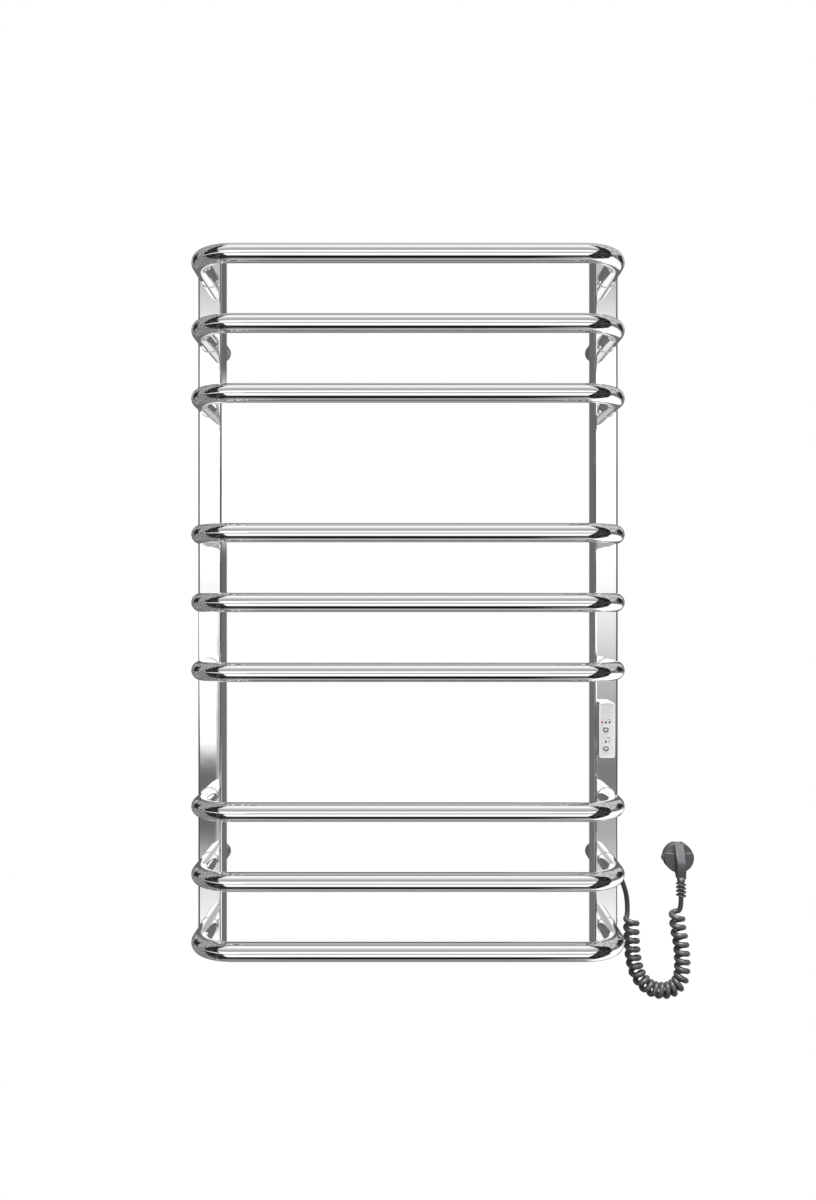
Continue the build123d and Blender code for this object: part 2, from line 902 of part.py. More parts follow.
save("cord_boot", make_boot())
save("boot_lock_nut", make_boot_nut())
save("supply_cord_lead", make_cord_tube(LEAD_POINTS, cord_d))
save("supply_cord_coil", make_cord_tube(COIL_POINTS, coil_outer_d))
save("plug_lead", make_plug_lead())
save("plug_strain_relief", make_strain_relief())
save("plug_body", make_plug_body())
save("plug_pins", make_pins())
save("plug_earth_clips", make_earth_clips())

os.makedirs("parts", exist_ok=True)
for name, shape in parts.items():
    export_step(shape, f"parts/{name}.step")
print(len(parts), "nodes written")
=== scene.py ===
# %% [markdown]
# # A towel warmer in polished chrome
# The object is a ladder of nine bent tubes welded to two upright tubes, with a small control
# on the right one and a curly mains cord. Its sizes are settled in CAD, so this lesson only
# loads that model, takes every place from it, and gives each piece the surface it deserves.

import json
from math import cos, pi, radians, sin

import bmesh
import bpy
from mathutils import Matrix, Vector

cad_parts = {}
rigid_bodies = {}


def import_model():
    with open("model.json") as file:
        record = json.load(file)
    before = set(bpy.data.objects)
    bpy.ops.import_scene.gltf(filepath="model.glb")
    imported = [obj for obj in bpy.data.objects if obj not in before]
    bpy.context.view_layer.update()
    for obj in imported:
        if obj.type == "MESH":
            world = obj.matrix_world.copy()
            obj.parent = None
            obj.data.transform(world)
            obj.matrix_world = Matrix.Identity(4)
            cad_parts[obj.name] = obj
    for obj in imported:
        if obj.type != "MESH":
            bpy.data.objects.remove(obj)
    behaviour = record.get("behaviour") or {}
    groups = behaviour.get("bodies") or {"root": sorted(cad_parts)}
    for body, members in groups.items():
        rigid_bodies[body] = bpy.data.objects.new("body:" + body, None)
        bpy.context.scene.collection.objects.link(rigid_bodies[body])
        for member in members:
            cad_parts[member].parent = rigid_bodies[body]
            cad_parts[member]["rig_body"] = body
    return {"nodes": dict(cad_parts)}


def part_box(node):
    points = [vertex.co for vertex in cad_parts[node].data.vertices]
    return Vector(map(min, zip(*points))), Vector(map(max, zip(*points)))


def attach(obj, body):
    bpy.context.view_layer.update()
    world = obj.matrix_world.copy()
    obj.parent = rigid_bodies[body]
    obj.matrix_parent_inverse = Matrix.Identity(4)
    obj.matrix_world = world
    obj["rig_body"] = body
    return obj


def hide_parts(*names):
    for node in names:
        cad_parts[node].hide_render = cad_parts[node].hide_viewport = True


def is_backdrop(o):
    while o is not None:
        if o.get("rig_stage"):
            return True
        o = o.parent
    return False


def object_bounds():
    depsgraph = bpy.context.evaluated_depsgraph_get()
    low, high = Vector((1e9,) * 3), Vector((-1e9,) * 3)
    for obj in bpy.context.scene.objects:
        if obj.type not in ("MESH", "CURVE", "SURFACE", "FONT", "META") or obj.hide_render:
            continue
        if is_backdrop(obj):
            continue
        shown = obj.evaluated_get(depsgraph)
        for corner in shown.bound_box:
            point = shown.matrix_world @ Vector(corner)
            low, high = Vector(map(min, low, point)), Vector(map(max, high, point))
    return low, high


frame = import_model()
nodes = frame["nodes"]
cad_low, cad_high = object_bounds()
scene = bpy.context.scene
print("nodes:", len(nodes), " size in m:", [round(side, 3) for side in cad_high - cad_low])

# %% Places taken from the frame
MM = 0.001


def middle(node):
    """The centre of a CAD node's box."""
    low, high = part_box(node)
    return (low + high) / 2


rung_names = [f"rung_{number}" for number in range(1, 10)]
rung_heights = [middle(name).z for name in rung_names]
rung_low, rung_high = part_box("rung_1")
tube_radius = (rung_high.z - rung_low.z) / 2
post_low, post_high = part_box("right_post")
post_x = (post_low.x + post_high.x) / 2
post_front = post_low.y
post_back = post_high.y
print("tube radius:", round(tube_radius / MM, 2), "mm, post front at y", round(post_front / MM, 1))

# %% [markdown]
# ## The camera
# A catalogue picture of a flat object is taken square on, with a short lens near the object.
# The camera stands level with the middle of the rack, so all the rungs stay parallel.

# %% Camera
CAMERA_DISTANCE = 1.31
CAMERA_HEIGHT = 0.00275
FOCAL_LENGTH = 30.9
lens = bpy.data.cameras.new("front_camera")
lens.lens = FOCAL_LENGTH
camera = bpy.data.objects.new("front_camera", lens)
camera.location = (0.0, -CAMERA_DISTANCE, CAMERA_HEIGHT)
camera.rotation_euler = (pi / 2, 0.0, 0.0)
scene.collection.objects.link(camera)
scene.camera = camera
scene.view_settings.view_transform = "Standard"
print("camera at", [round(value, 3) for value in camera.location])

# %% [markdown]
# ## Writing node trees as recipes
# Shader nodes and geometry nodes are easier to read as expressions. `Wire` stands for one
# output of a node, and adds a Math node for each operator. `Recipe.make` adds any other node.


# %% A small language for node trees
class Wire:
    """One output of a node. Maths on it adds Math nodes to the same tree."""

    def __init__(self, recipe, node, out=0):
        self.recipe = recipe
        self.node = node
        self.socket = node.outputs[out] if len(node.outputs) else None

    def output(self, name):
        return Wire(self.recipe, self.node, name)

    def maths(self, operation, *values):
        sockets = dict(enumerate((self, *values)))
        return self.recipe.make("ShaderNodeMath", {"operation": operation}, sockets)

    def __add__(self, other):
        return self.maths("ADD", other)

    __radd__ = __add__

    def __sub__(self, other):
        return self.maths("SUBTRACT", other)

    def __rsub__(self, other):
        return self.maths("MULTIPLY_ADD", -1.0, other)

    def __mul__(self, other):
        return self.maths("MULTIPLY", other)

    __rmul__ = __mul__

    def __truediv__(self, other):
        return self.maths("DIVIDE", other)

    def __abs__(self):
        return self.maths("ABSOLUTE")

    def ease(self, start, end):
        """0 before start, 1 after end, and smooth between them."""
        settings = {"interpolation_type": "SMOOTHSTEP"}
        sockets = {0: self, 1: start, 2: end}
        return self.recipe.make("ShaderNodeMapRange", settings, sockets)


class Recipe:
    """A node tree that is written line by line."""

    def __init__(self, tree):
        self.tree = tree
        tree.nodes.clear()

    def make(self, kind, settings=None, sockets=None, out=0):
        """Adds a node: its settings first, then the values or links of its sockets."""
        node = self.tree.nodes.new(kind)
        for name, value in (settings or {}).items():
            if name == "stops":
                set_stops(node.color_ramp, value)
            else:
                setattr(node, name, value)
        for key, value in (sockets or {}).items():
            if isinstance(value, Wire):
                self.tree.links.new(value.socket, node.inputs[key])
            else:
                node.inputs[key].default_value = value
        return Wire(self, node, out)

    def mix(self, share, first, second):
        """Two colours, mixed."""
        settings = {"data_type": "RGBA"}
        return self.make("ShaderNodeMix", settings, {0: share, 6: first, 7: second}, 2)


def set_stops(ramp, stops):
    """Gives a colour ramp its (position, colour) stops."""
    while len(ramp.elements) < len(stops):
        ramp.elements.new(1.0)
    for element, (position, colour) in zip(ramp.elements, stops):
        element.position = position
        element.color = colour


def grey(display):
    """The scene-linear colour of a grey that is seen on the screen as 0 to 1."""
    level = display**2.2
    return (level, level, level, 1.0)


print("a screen grey of 0.5 is", round(grey(0.5)[0], 3), "in scene light")

# %% [markdown]
# ## A studio made of light bands
# Chrome has no colour of its own: all that is seen on it is the room. A product studio puts
# white panels and black flags round the object, so the tubes show long clean bands. Here the
# world is that studio, a brightness for each direction, and only the camera sees plain white.

# %% Bands of the studio
# Each band is (roll in degrees, brightness on the screen). Roll 0 points at the user, 90 up,
# -90 down, and 180 at the wall.
BANDS = [
    (-180, 0.40), (-150, 0.40), (-127, 0.64), (-110, 0.34), (-99, 0.32), (-91, 0.68), (-84, 0.62),
    (-77, 0.28), (-66, 0.10), (-56, 0.06), (-48, 0.13), (-43, 0.55), (-39, 0.97), (-20, 1.0),
    (-16, 0.86), (-13, 0.63), (-5, 0.64), (-1, 0.88), (3, 1.0), (14.5, 1.0), (16, 0.74),
    (24, 0.63), (33, 0.60), (43, 0.70), (56, 0.80), (66, 0.94), (78, 0.94), (94, 0.78),
    (110, 0.62), (124, 0.76), (138, 0.48), (155, 0.38),
]
WHITE_LEVEL = 1.08

world = bpy.data.worlds.new("studio")
scene.world = world
world.use_nodes = True
studio = Recipe(world.node_tree)
direction = studio.make("ShaderNodeTexCoord", out="Generated")
axes = studio.make("ShaderNodeSeparateXYZ", sockets={0: direction})
across, away, up = axes.output("X"), axes.output("Y"), axes.output("Z")
roll = up.maths("ARCTAN2", away * -1.0) * (180 / pi)
band_stops = [((angle + 180) / 360, grey(shade * WHITE_LEVEL)) for angle, shade in BANDS]
band_light = studio.make("ShaderNodeValToRGB", {"stops": band_stops}, {0: (roll + 180.0) / 360.0})
print("bands:", len(BANDS))


# %% Flags and panels at the sides
# A tube's bend looks to the side. It passes a slanting black flag beside the camera, then a
# small second flag, and a panel that is white on the right and grey on the left.
def within(value, low, high, soft):
    """1 between two values, with soft edges."""
    return value.ease(low - soft, low + soft) * (1.0 - value.ease(high - soft, high + soft))


def speckle(scale, start, end):
    """Small spots, as of lamps and of gaps between panels."""
    sockets = {"Vector": direction, "Scale": scale, "Detail": 3.0}
    return studio.make("ShaderNodeTexNoise", {"noise_dimensions": "3D"}, sockets).ease(start, end)


turn = abs(across).maths("ARCTAN2", away * -1.0)
warp = (speckle(3.5, 0.2, 0.8) - 0.5) * 0.30
slant = turn - up * 0.36 + warp * 0.5
on_right = across.ease(-0.05, 0.05)
upper, lower = up.ease(0.10, 0.25), 1.0 - up.ease(-0.25, -0.12)
level_light = studio.mix(speckle(9.0, 0.55, 0.62), grey(0.42), grey(0.62))
right_light = studio.mix(lower, studio.mix(upper, level_light, grey(0.80)), grey(1.06))
left_light = studio.mix(lower, studio.mix(upper, level_light, grey(0.62)), grey(0.50))
side_light = studio.mix(on_right, left_light, right_light)
side_light = studio.mix(speckle(14.0, 0.62, 0.66) * (1.0 - on_right), side_light, grey(1.0))
side_light = studio.mix(speckle(11.0, 0.58, 0.62) * upper, side_light, grey(0.22))
far_flag = within(turn + warp, 1.90, 2.30, 0.05) * within(up - warp, -0.05, 0.45, 0.06)
side_light = studio.mix(far_flag, side_light, grey(0.18))
near_flag = slant.ease(0.57, 0.67) * (1.0 - (turn + warp * 0.5).ease(1.34, 1.44))
near_flag = near_flag * within(up, -0.93, 0.93, 0.04)
flag_light = studio.mix(speckle(6.0, 0.45, 0.65), grey(0.15), grey(0.30))
side_light = studio.mix(near_flag, side_light, flag_light)
side_light = studio.mix(speckle(9.0, 0.68, 0.71) * near_flag, side_light, grey(0.85))
beside = slant.ease(0.58, 0.66) * within(up, -0.95, 0.95, 0.03) * abs(across).ease(0.12, 0.20)
room_light = studio.mix(beside * (1.0 - turn.ease(2.55, 2.70)), band_light, side_light)

# The top of the control looks at a lit patch low on the wall.
lit_patch = within(across, 0.10, 0.26, 0.02) * within(up, 0.06, 0.20, 0.02) * away.ease(0.86, 0.90)
room_light = studio.mix(lit_patch, room_light, grey(1.06))

# The left post looks past the main panel at a brighter and at a darker one.
past_panel = 1.0 - across.ease(-0.182, -0.174)
room_light = studio.mix(past_panel * within(roll, -8.6, 0.0, 0.8), room_light, grey(1.06))
room_light = studio.mix(past_panel * within(roll, -13.4, -8.8, 1.2), room_light, grey(0.43))

# The right post sees a narrow dark edge below its control.
low_edge = within(roll, -11.4, -8.2, 1.0) * across.ease(0.150, 0.158)
room_light = studio.mix(low_edge, room_light, grey(0.50))

seen = studio.make("ShaderNodeLightPath", out="Is Camera Ray")
room_light = studio.mix(seen, room_light, (1.0, 1.0, 1.0, 1.0))
glow = studio.make("ShaderNodeBackground", sockets={"Color": room_light, "Strength": 1.0})
studio.make("ShaderNodeOutputWorld", sockets={"Surface": glow})
print("world nodes:", len(world.node_tree.nodes))

# %% [markdown]
# ## Floor and key light
# The rack hangs on a wall that isn't part of it. A pale floor lies below it as in a studio,
# and chrome doesn't show it. One wide soft light from above gives the plastic its shape.

# %% Floor and light
FLOOR_HEIGHT = -1.25
floor_mesh = bpy.data.meshes.new("studio_floor")
floor_corners = [(-2.5, -2.5), (2.5, -2.5), (2.5, 0.6), (-2.5, 0.6)]
floor_mesh.from_pydata([(x, y, FLOOR_HEIGHT) for x, y in floor_corners], [], [(0, 1, 2, 3)])
floor = bpy.data.objects.new("studio_floor", floor_mesh)
floor.visible_glossy = False
scene.collection.objects.link(floor)
floor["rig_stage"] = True

floor_paint = bpy.data.materials.new("pale_floor")
floor_paint.use_nodes = True
floor_shader = floor_paint.node_tree.nodes["Principled BSDF"]
floor_shader.inputs["Base Color"].default_value = (0.8, 0.8, 0.8, 1)
floor_shader.inputs["Roughness"].default_value = 0.9
floor_mesh.materials.append(floor_paint)


def add_light(name, place, tilt, size, power):
    """A soft rectangular light. Only the plastic pieces, listed later, receive it."""
    light = bpy.data.lights.new(name, "AREA")
    light.shape = "RECTANGLE"
    light.size, light.size_y = size
    light.energy = power
    holder = bpy.data.objects.new(name, light)
    holder.location = place
    holder.rotation_euler = (radians(tilt), 0.0, 0.0)
    holder.light_linking.receiver_collection = plastic_pieces
    scene.collection.objects.link(holder)


plastic_pieces = bpy.data.collections.new("plastic_pieces")
add_light("overhead_soft_box", (0.15, -0.45, 1.75), 10, (1.2, 0.5), 150.0)
add_light("front_fill", (0.0, -1.6, 0.3), 80, (0.8, 0.8), 9.0)
print("floor", abs(FLOOR_HEIGHT), "m below the middle of the rack")


# %% [markdown]
# ## Finishes
# Each finish is one function of a few numbers. A plated metal is a mirror with a faint wave
# from polishing and a thin film of smudges. A moulded plastic has a fine grain, and shows a
# soft highlight. What varies over the surface drives only colour, roughness and bump.

# %% How a finish is made
def start_finish(name):
    """An empty material, its recipe, and the place of each point on the object."""
    material = bpy.data.materials.new(name)
    material.use_nodes = True
    recipe = Recipe(material.node_tree)
    place = recipe.make("ShaderNodeTexCoord", out="Object")
    return material, recipe, place


def noise(recipe, place, scale, detail=2.0, roughness=0.5):
    """A noise of about one spot per 1/scale metres."""
    sockets = {"Vector": place, "Scale": scale, "Detail": detail, "Roughness": roughness}
    return recipe.make("ShaderNodeTexNoise", {"noise_dimensions": "3D"}, sockets)


def bump(recipe, height, depth):
    """A bump whose full height is depth, in metres."""
    sockets = {"Strength": 1.0, "Distance": depth, "Height": height}
    return recipe.make("ShaderNodeBump", None, sockets)


def end_finish(recipe, **sockets):
    """The shader and the output."""
    named = {key.replace("_", " "): value for key, value in sockets.items()}
    shader = recipe.make("ShaderNodeBsdfPrincipled", None, named)
    recipe.make("ShaderNodeOutputMaterial", None, {"Surface": shader})


def tint(recipe, share, colour, spread):
    """A colour that a noise makes a little darker and lighter."""
    dark = (*[channel * (1 - spread) for channel in colour], 1.0)
    light = (*[min(channel * (1 + spread), 1.0) for channel in colour], 1.0)
    return recipe.mix(share, dark, light)


# %% Plated metal
def plated(name, colour, roughness, wave_depth, wave_scale=38.0, smudge=0.03):
    material, recipe, place = start_finish(name)
    film = noise(recipe, place, 16.0, 5.0, 0.6)
    waves = noise(recipe, place, wave_scale, 1.0)
    along_x = {"Vector": place, "Scale": (9.0, 900.0, 900.0)}
    scratch_place = recipe.make("ShaderNodeMapping", None, along_x)
    scratches = noise(recipe, scratch_place, 1.0, 2.0)
    end_finish(
        recipe,
        Base_Color=tint(recipe, film, colour, 0.02),
        Metallic=1.0,
        Roughness=film * smudge + scratches * (smudge / 3) + roughness,
        Normal=bump(recipe, waves, wave_depth),
    )
    return material


chrome = plated("polished_chrome", (0.93, 0.935, 0.94), 0.008, 0.00003, smudge=0.018)
print("first finish:", chrome.name)


# %% Brushed and cast metal
def brushed(name, colour, roughness, line_depth=0.000004):
    material, recipe, place = start_finish(name)
    along_y = {"Vector": place, "Scale": (2500.0, 60.0, 2500.0)}
    line_place = recipe.make("ShaderNodeMapping", None, along_y)
    lines = noise(recipe, line_place, 1.0, 3.0, 0.6)
    stains = noise(recipe, place, 220.0, 4.0)
    end_finish(
        recipe,
        Base_Color=tint(recipe, stains, colour, 0.10),
        Metallic=1.0,
        Roughness=lines * 0.15 + roughness,
        Normal=bump(recipe, lines, line_depth),
    )
    return material


# %% Moulded plastic and rubber
def moulded(name, colour, roughness, grain_scale=2600.0, grain_depth=0.00002, spread=0.12):
    material, recipe, place = start_finish(name)
    grain = noise(recipe, place, grain_scale, 2.0, 0.6)
    flow = noise(recipe, place, 60.0, 3.0)
    end_finish(
        recipe,
        Base_Color=tint(recipe, flow * 0.5 + grain * 0.5, colour, spread),
        Roughness=flow * 0.12 + grain * 0.08 + roughness,
        Normal=bump(recipe, grain, grain_depth),
    )
    return material


# %% Lenses, lacquered board and striped wire
def lens_plastic(name, colour):
    material, recipe, place = start_finish(name)
    haze = noise(recipe, place, 1500.0, 2.0)
    sockets = {"Vector": place, "Scale": 1400.0}
    cells = recipe.make("ShaderNodeTexVoronoi", {"feature": "F1"}, sockets)
    end_finish(
        recipe,
        Base_Color=tint(recipe, cells, colour, 0.25),
        Roughness=haze * 0.10 + 0.08,
        Coat_Weight=0.6,
    )
    return material


def lacquered_board(name, colour):
    """Copper tracks show through the green lacquer as slightly raised paler lines."""
    material, recipe, place = start_finish(name)
    track_place = recipe.make("ShaderNodeMapping", None, {"Vector": place, "Scale": (1.0, 0.0, 1.0)})
    settings = {"feature": "DISTANCE_TO_EDGE"}
    edges = recipe.make("ShaderNodeTexVoronoi", settings, {"Vector": track_place, "Scale": 260.0})
    tracks = 1.0 - edges.ease(0.08, 0.14)
    end_finish(
        recipe,
        Base_Color=recipe.mix(tracks, (*colour, 1.0), (*[channel * 2.2 for channel in colour], 1.0)),
        Roughness=tracks * 0.1 + 0.25,
        Normal=bump(recipe, tracks, 0.00003),
    )
    return material


def striped_sheath(name, colour, stripe):
    """The earth wire's two colours run along it."""
    material, recipe, place = start_finish(name)
    axes = recipe.make("ShaderNodeSeparateXYZ", sockets={0: place})
    wave = (axes.output("X") * 2100.0).maths("SINE")
    rub = noise(recipe, place, 900.0, 2.0)
    end_finish(
        recipe,
        Base_Color=recipe.mix(wave.ease(-0.1, 0.1), (*colour, 1.0), (*stripe, 1.0)),
        Roughness=rub * 0.2 + 0.30,
        Normal=bump(recipe, rub, 0.00001),
    )
    return material


def highlight_lipped(name, colour, lip):
    """Bright metallised plastic; its front lip, up to the plane y = lip, is a painted white highlight."""
    material, recipe, place = start_finish(name)
    axes = recipe.make("ShaderNodeSeparateXYZ", sockets={0: place})
    # painted is 1 on the front lip, which is coloured white as a painted highlight of the rim's edge.
    painted = 1.0 - axes.output("Y").ease(lip, lip + 0.2 * MM)
    haze = noise(recipe, place, 200.0, 3.0)
    end_finish(
        recipe,
        Base_Color=recipe.mix(painted, (*colour, 1.0), (0.95, 0.95, 0.955, 1.0)),
        Metallic=1.0 - painted,
        Roughness=haze * 0.05 + painted * 0.24 + 0.06,
        Normal=bump(recipe, haze, 0.00001),
    )
    return material


# %% One finish for each material of the record
finishes = {
    "chrome_steel": chrome,
    "satin_steel": brushed("satin_steel_finish", (0.56, 0.56, 0.57), 0.28),
    "dark_steel": brushed("blackened_screw", (0.12, 0.12, 0.13), 0.34),
    "zinc_steel": brushed("zinc_plated_fastener", (0.62, 0.63, 0.66), 0.26),
    "tinned_copper": brushed("tinned_terminal", (0.74, 0.70, 0.62), 0.24),
    "pin_nickel": plated("nickel_plated_pin", (0.74, 0.72, 0.69), 0.10, 0.00001, 300.0, 0.12),
    # The control housing's white front lip is a painted highlight.
    "bright_plastic": highlight_lipped(
        "metallised_plastic_painted_highlight", (0.90, 0.90, 0.91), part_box("control_housing")[0].y + 0.5 * MM
    ),
    "silver_face": moulded("silver_face_paint", (0.76, 0.76, 0.77), 0.38, 1500.0, 0.00001, 0.16),
    "button_grey": moulded("button_paint", (0.76, 0.76, 0.77), 0.34, 1800.0, 0.00001, 0.10),
    "red_lens": lens_plastic("red_lens_plastic", (0.50, 0.05, 0.05)),
    "dark_lens": lens_plastic("smoked_lens_plastic", (0.012, 0.012, 0.014)),
    "black_plastic": moulded("black_moulding", (0.022, 0.022, 0.024), 0.42),
    "black_rubber": moulded("black_sheath", (0.018, 0.018, 0.018), 0.62, 1600.0, 0.00003),
    "board_green": lacquered_board("green_board_lacquer", (0.02, 0.14, 0.05)),
    "relay_blue": moulded("blue_component_case", (0.03, 0.10, 0.36), 0.28),
    "terminal_white": moulded("terminal_nylon", (0.72, 0.72, 0.68), 0.40, 900.0),
    "cable_red": moulded("heating_cable_silicone", (0.42, 0.05, 0.03), 0.48, 1200.0),
    "earth_green": striped_sheath("earth_wire_sheath", (0.05, 0.30, 0.05), (0.75, 0.60, 0.03)),
    "cord_grey": moulded("cord_sheath", (0.064, 0.065, 0.070), 0.27, 2400.0, 0.00001, 0.15),
    "plug_grey": moulded("plug_moulding", (0.062, 0.063, 0.068), 0.40, 2300.0, 0.00003, 0.20),
}
for node in nodes.values():
    slot_name = node.data.materials[0].name.split(".")[0]
    node["finish_slot"] = slot_name
    node.data.materials[0] = finishes[slot_name]
print("finishes:", len(finishes))


# %% [markdown]
# ## Helpers for pieces
# A piece that Blender makes stands for one or more CAD nodes: it rides on their body and hides
# them, and it takes a slot's finish if it has none. Every piece goes through the same function.

# %% Add a piece in place of CAD nodes
METALS = ("chrome_steel", "satin_steel", "dark_steel", "zinc_steel", "tinned_copper", "pin_nickel")


def dress(piece, body, slot_name, *replaced):
    """Gives a new piece its body, a finish if it has none, and hides the CAD nodes it stands for."""
    if not piece.data.materials:
        piece.data.materials.append(finishes[slot_name])
    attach(piece, body)
    if replaced:
        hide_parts(*replaced)
    if slot_name not in METALS:
        plastic_pieces.objects.link(piece)
    return piece


def add_object(name, data):
    piece = bpy.data.objects.new(name, data)
    scene.collection.objects.link(piece)
    return piece


def as_plain_mesh(piece, name):
    """The evaluated mesh of an object, as a new object with no modifiers."""
    bpy.context.view_layer.update()
    graph = bpy.context.evaluated_depsgraph_get()
    mesh = bpy.data.meshes.new_from_object(piece.evaluated_get(graph))
    bpy.data.objects.remove(piece)
    mesh.name = name
    return add_object(name, mesh)


# %% A smooth copy of a CAD node
def refined(node_name, crease=35.0, bevel=0.0):
    """CAD triangles merged, flats made whole, and normals weighted by face area."""
    node = nodes[node_name]
    work = bmesh.new()
    work.from_mesh(node.data)
    bmesh.ops.remove_doubles(work, verts=work.verts, dist=1e-6)
    bmesh.ops.dissolve_limit(
        work, angle_limit=radians(0.2), verts=work.verts, edges=work.edges, delimit={"NORMAL"}
    )
    mesh = bpy.data.meshes.new(node_name + "_surface")
    work.to_mesh(mesh)
    work.free()
    mesh.shade_smooth()
    mesh.set_sharp_from_angle(angle=radians(crease))
    piece = add_object(node_name + "_work", mesh)
    if bevel:
        edge = piece.modifiers.new("edge", "BEVEL")
        edge.width = bevel
        edge.segments = 3
        edge.limit_method = "ANGLE"
        edge.angle_limit = radians(crease)
        edge.harden_normals = True
    weights = piece.modifiers.new("weights", "WEIGHTED_NORMAL")
    weights.keep_sharp = True
    piece = as_plain_mesh(piece, node_name + "_surface")
    return dress(piece, node["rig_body"], node["finish_slot"], node_name)


# %% [markdown]
# ## The rungs
# Each rung is one tube bent twice, welded to both posts. The shape follows a rule, so a
# Geometry Nodes tree makes it: four corners, rounded by Fillet Curve, swept by a circle. The
# tree is run on a cloud of points, one at each rung's height, and every size is an input.

# %% Run a tree on a cloud of points
def new_tree(name, inputs):
    """A Geometry Nodes tree with named inputs: label to socket type."""
    tree = bpy.data.node_groups.new(name, "GeometryNodeTree")
    tree.interface.new_socket("Places", in_out="INPUT", socket_type="NodeSocketGeometry")
    for label, kind in inputs.items():
        tree.interface.new_socket(label, in_out="INPUT", socket_type=kind)
    tree.interface.new_socket("Mesh", in_out="OUTPUT", socket_type="NodeSocketGeometry")
    recipe = Recipe(tree)
    return tree, recipe, recipe.make("NodeGroupInput", out="Places")


def finish_tree(recipe, places, shape, rotation, material):
    """Put the shape on every place, make it real and give it its finish."""
    sockets = {"Points": places, "Instance": shape, "Rotation": rotation}
    copies = recipe.make("GeometryNodeInstanceOnPoints", None, sockets)
    real = recipe.make("GeometryNodeRealizeInstances", None, {0: copies})
    painted = recipe.make("GeometryNodeSetMaterial", None, {"Geometry": real, "Material": material})
    recipe.make("NodeGroupOutput", None, {0: painted})


def grow(name, tree, places, sizes):
    """Run a tree on points, and keep the result as a plain mesh."""
    cloud = bpy.data.meshes.new(name + "_places")
    cloud.from_pydata([tuple(place) for place in places], [], [])
    seed = add_object(name + "_seed", cloud)
    grower = seed.modifiers.new("grow", "NODES")
    grower.node_group = tree
    for item in tree.interface.items_tree:
        if item.in_out == "INPUT" and item.name in sizes:
            grower[item.identifier] = sizes[item.name]
    return as_plain_mesh(seed, name)


# %% The tree of a rung
LENGTH = "NodeSocketFloat"
COUNT = "NodeSocketInt"
rung_tree, recipe, places = new_tree(
    "bent_rung",
    {"Half Spacing": LENGTH, "Post Face": LENGTH, "Front": LENGTH, "Bend Radius": LENGTH,
     "Tube Radius": LENGTH, "Sides": COUNT, "Bend Steps": COUNT},
)


def corner(x, y):
    return recipe.make("ShaderNodeCombineXYZ", None, {"X": x, "Y": y})


half = places.output("Half Spacing")
face, front = places.output("Post Face"), places.output("Front")
corners = [
    corner(half * -1.0, face), corner(half * -1.0, front), corner(half, front), corner(half, face)
]
loop = recipe.make(
    "GeometryNodeCurvePrimitiveQuadrilateral",
    {"mode": "POINTS"},
    {f"Point {number}": point for number, point in enumerate(corners, start=1)},
)
line = recipe.make("GeometryNodeSetSplineCyclic", None, {0: loop, "Cyclic": False})
bent = recipe.make(
    "GeometryNodeFilletCurve",
    {"mode": "POLY"},
    {"Curve": line, "Count": places.output("Bend Steps"), "Radius": places.output("Bend Radius")},
)
section = recipe.make(
    "GeometryNodeCurvePrimitiveCircle",
    {"mode": "RADIUS"},
    {"Resolution": places.output("Sides"), "Radius": places.output("Tube Radius")},
)
tube = recipe.make(
    "GeometryNodeCurveToMesh", None, {"Curve": bent, "Profile Curve": section, "Fill Caps": True}
)
smooth = recipe.make("GeometryNodeSetShadeSmooth", None, {0: tube})
finish_tree(recipe, places, smooth, (0.0, 0.0, 0.0), chrome)

# %% Grow the rungs
BEND_RADIUS = 42.5 * MM
rung_front = rung_low.y + tube_radius
rungs = grow(
    "chrome_rungs",
    rung_tree,
    [(0.0, 0.0, height) for height in rung_heights],
    {"Half Spacing": rung_high.x - tube_radius, "Post Face": post_front, "Front": rung_front,
     "Bend Radius": BEND_RADIUS, "Tube Radius": tube_radius, "Sides": 72, "Bend Steps": 30},
)
dress(rungs, "rack", "chrome_steel", *rung_names)
print("rungs:", len(rungs.data.polygons), "faces")

# %% [markdown]
# ## Weld beads
# A polished rack still shows a low bead where each tube meets its post. The bead is a ring
# with a shallow ripple, left by the torch moving on in small steps. A curve's radius carries
# the ripple, so one tree makes the beads of the rungs and of the wall sleeves.

# %% Weld beads
bead_tree, recipe, places = new_tree(
    "weld_bead",
    {"Ring Radius": LENGTH, "Bead Radius": LENGTH, "Ripples": LENGTH, "Ripple Depth": LENGTH},
)
ring = recipe.make(
    "GeometryNodeCurvePrimitiveCircle",
    {"mode": "RADIUS"},
    {"Resolution": 240, "Radius": places.output("Ring Radius")},
)
share = recipe.make("GeometryNodeSplineParameter", out="Factor")
wave = (share * places.output("Ripples") * (2 * pi)).maths("SINE")
ripple = wave * places.output("Ripple Depth") + 1.0
rippled = recipe.make("GeometryNodeSetCurveRadius", None, {"Curve": ring, "Radius": ripple})
round_section = recipe.make(
    "GeometryNodeCurvePrimitiveCircle",
    {"mode": "RADIUS"},
    {"Resolution": 10, "Radius": places.output("Bead Radius")},
)
bead = recipe.make("GeometryNodeCurveToMesh", None, {"Curve": rippled, "Profile Curve": round_section})
smooth = recipe.make("GeometryNodeSetShadeSmooth", None, {0: bead})
finish_tree(recipe, places, smooth, (pi / 2, 0.0, 0.0), chrome)

